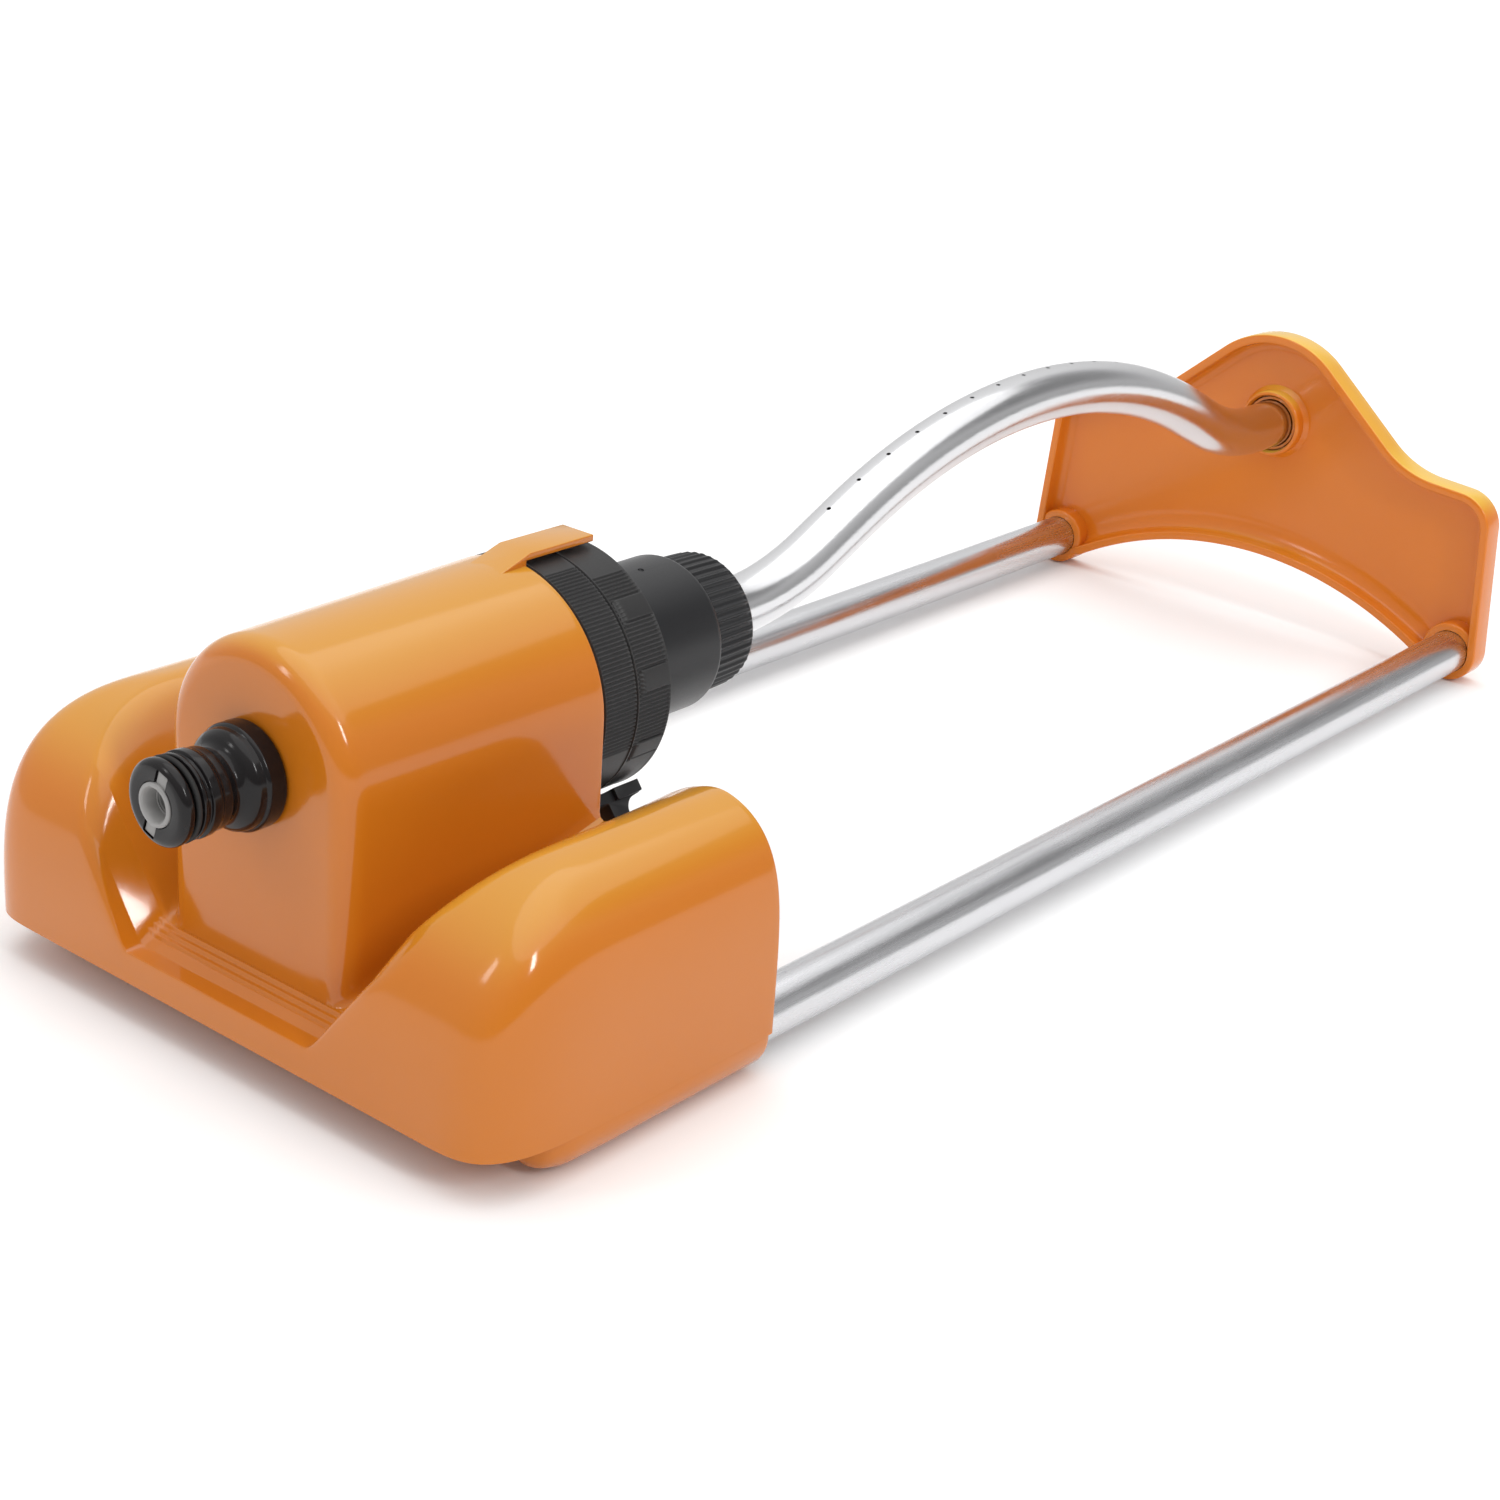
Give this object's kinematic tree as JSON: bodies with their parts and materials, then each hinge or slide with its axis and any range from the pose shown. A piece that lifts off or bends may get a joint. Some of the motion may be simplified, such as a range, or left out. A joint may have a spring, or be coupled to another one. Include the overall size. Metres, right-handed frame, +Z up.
{
  "type": "oscillating lawn sprinkler",
  "caption": "Orange oscillating lawn sprinkler with a geared water motor, two range rings, a bent aluminium spray tube, twin rails and an end plate.",
  "frame": {"origin": "bottom centre of the bounding box, on the ground", "axes": "+X from the hose nipple to the end plate, +Y to the left seen from the nipple, +Z up"},
  "size_m": [0.4124, 0.15, 0.0959],
  "materials": {
    "orange_plastic": "glossy injection-moulded orange",
    "orange_plate_plastic": "glossy injection-moulded orange",
    "orange_cover_plastic": "semi-gloss moulded orange",
    "black_nipple_plastic": "glossy black",
    "black_hub_plastic": "satin black",
    "black_ring_plastic": "matt black with fine ribs",
    "grey_insert_plastic": "matt mid grey",
    "motor_plastic": "satin dark grey",
    "gear_plastic": "natural acetal",
    "seal_rubber": "matt black rubber",
    "tube_aluminium": "bright satin",
    "rail_aluminium": "bright satin",
    "pin_steel": "bright steel"
  },
  "bodies": {
    "base": {"housing_shell": "orange_plastic", "base_cover": "orange_cover_plastic", "cover_screw_1": "pin_steel", "cover_screw_2": "pin_steel", "cover_screw_3": "pin_steel", "cover_screw_4": "pin_steel", "rail_left": "rail_aluminium", "rail_right": "rail_aluminium", "rail_plug_left": "motor_plastic", "rail_plug_right": "motor_plastic", "plate_screw_left": "pin_steel", "plate_screw_right": "pin_steel", "end_plate": "orange_plate_plastic", "hose_nipple": "black_nipple_plastic", "nipple_seal": "seal_rubber", "inlet_insert": "grey_insert_plastic", "inlet_filter": "grey_insert_plastic", "motor_case": "motor_plastic", "motor_cap": "motor_plastic", "nozzle_plate": "gear_plastic", "centre_pin": "pin_steel", "lay_pin": "pin_steel", "gear_plate": "gear_plastic", "shaft_seal": "seal_rubber", "pivot_bush": "orange_plate_plastic"},
    "spray_arm": {"arm_hub": "black_hub_plastic", "output_gear": "gear_plastic", "clamp_nut": "black_hub_plastic", "tube_seal": "seal_rubber", "spray_tube": "tube_aluminium", "tube_end_plug": "motor_plastic"},
    "front_ring": {"range_ring_front": "black_ring_plastic"},
    "rear_ring": {"range_ring_rear": "black_ring_plastic"},
    "lever": {"trip_lever": "black_hub_plastic"},
    "reverser": {"reverser_flap": "gear_plastic"},
    "turbine": {"turbine_wheel": "gear_plastic"},
    "first_gear": {"gear_first": "gear_plastic"},
    "second_gear": {"gear_second": "gear_plastic"},
    "third_gear": {"gear_third": "gear_plastic"}
  },
  "joints": [
    {"name": "arm_swing", "type": "hinge", "parent": "base", "child": "spray_arm", "pos_m": [0.04375, 0, 0.0597], "axis": [1, 0, 0], "range_deg": [-45, 45]},
    {"name": "front_ring_turn", "type": "hinge", "parent": "spray_arm", "child": "front_ring", "pos_m": [-0.11125, 0, 0.0597], "axis": [1, 0, 0], "range_deg": [-40, 40]},
    {"name": "rear_ring_turn", "type": "hinge", "parent": "spray_arm", "child": "rear_ring", "pos_m": [-0.10125, 0, 0.0597], "axis": [1, 0, 0], "range_deg": [-40, 40]},
    {"name": "lever_trip", "type": "hinge", "parent": "base", "child": "lever", "pos_m": [-0.11725, 0, 0.0597], "axis": [1, 0, 0], "range_deg": [-6, 6]},
    {"name": "reverser_swing", "type": "hinge", "parent": "base", "child": "reverser", "pos_m": [-0.17425, 0, 0.0597], "axis": [1, 0, 0], "range_deg": [-18, 18]},
    {"name": "third_gear_spin", "type": "hinge", "parent": "base", "child": "third_gear", "pos_m": [-0.14925, -0.0112, 0.0597], "axis": [1, 0, 0], "range_deg": [-135, 135]},
    {"name": "second_gear_spin", "type": "hinge", "parent": "base", "child": "second_gear", "pos_m": [-0.15425, 0, 0.0597], "axis": [1, 0, 0], "range_deg": [-405, 405]},
    {"name": "first_gear_spin", "type": "hinge", "parent": "base", "child": "first_gear", "pos_m": [-0.15925, -0.0112, 0.0597], "axis": [1, 0, 0], "range_deg": [-1215, 1215]},
    {"name": "turbine_spin", "type": "hinge", "parent": "base", "child": "turbine", "pos_m": [-0.16625, 0, 0.0597], "axis": [1, 0, 0], "range_deg": [-3645, 3645]}
  ],
  "couplings": [
    {"joint": "third_gear_spin", "follows": "arm_swing", "ratio": -3},
    {"joint": "second_gear_spin", "follows": "arm_swing", "ratio": 9},
    {"joint": "first_gear_spin", "follows": "arm_swing", "ratio": -27},
    {"joint": "turbine_spin", "follows": "arm_swing", "ratio": 81},
    {"joint": "reverser_swing", "follows": "lever_trip", "ratio": 3}
  ]
}
